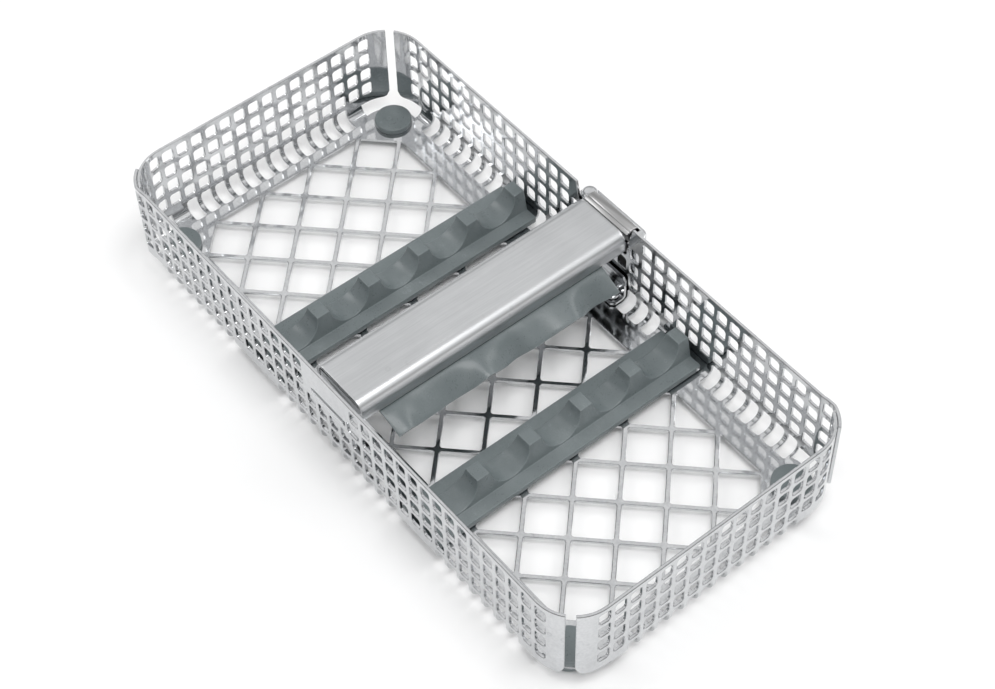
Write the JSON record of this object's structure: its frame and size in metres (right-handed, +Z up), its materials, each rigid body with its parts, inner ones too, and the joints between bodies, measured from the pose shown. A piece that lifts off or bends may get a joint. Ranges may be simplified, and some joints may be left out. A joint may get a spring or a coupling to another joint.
{
  "type": "instrument tray",
  "caption": "Perforated stainless wash tray for hand instruments with silicone racks, silicone feet and a hinged, latched hold-down bar over a silicone flap.",
  "frame": {"origin": "centre of the overall box in plan, at the underside of the feet", "axes": "+X along the tray, +Y across it towards the latch, +Z up"},
  "size_m": [0.184, 0.0966, 0.031],
  "materials": {
    "polished_steel": "mirror polished, perforated sheet",
    "brushed_steel": "fine brushed along the bar",
    "spring_steel": "satin spring strip",
    "silicone": "satin moulded silicone, blue-grey"
  },
  "bodies": {
    "basket": {"floor_panel": "polished_steel", "near_wall": "polished_steel", "far_wall": "polished_steel", "left_end_wall": "polished_steel", "right_end_wall": "polished_steel", "left_corner_wrap": "polished_steel", "right_corner_wrap": "polished_steel", "rear_wing_left": "polished_steel", "rear_wing_far": "polished_steel", "front_wing_near": "polished_steel", "front_wing_right": "polished_steel", "foot_rear_left": "silicone", "foot_rear_right": "silicone", "foot_front_left": "silicone", "foot_front_right": "silicone", "latch_housing": "polished_steel", "latch_bracket": "polished_steel", "latch_rivet_left": "polished_steel", "latch_rivet_right": "polished_steel"},
    "bar": {"clamp_bar": "brushed_steel", "bar_hinge_plate": "brushed_steel", "bar_latch_plate": "brushed_steel", "hold_flap": "silicone", "flap_strip": "brushed_steel", "flap_stud_near": "brushed_steel", "flap_stud_middle": "brushed_steel", "flap_stud_far": "brushed_steel"},
    "latch": {"latch_leaf": "spring_steel"},
    "left_rack": {"rack_left": "silicone"},
    "right_rack": {"rack_right": "silicone"}
  },
  "joints": [
    {"name": "bar_swing", "type": "hinge", "parent": "basket", "child": "bar", "pos_m": [0, -0.04635, 0.0215], "axis": [1, 0, 0], "range_deg": [0, 20]},
    {"name": "latch_flex", "type": "hinge", "parent": "basket", "child": "latch", "pos_m": [0, 0.0441, 0.0104], "axis": [-1, 0, 0], "range_deg": [0, 4.5], "stiffness_Nm_per_rad": 0.4},
    {"name": "rack_left_lift", "type": "slide", "parent": "basket", "child": "left_rack", "axis": [0, 0, 1], "range_m": [0, 0.03]},
    {"name": "rack_right_lift", "type": "slide", "parent": "basket", "child": "right_rack", "axis": [0, 0, 1], "range_m": [0, 0.03]}
  ]
}
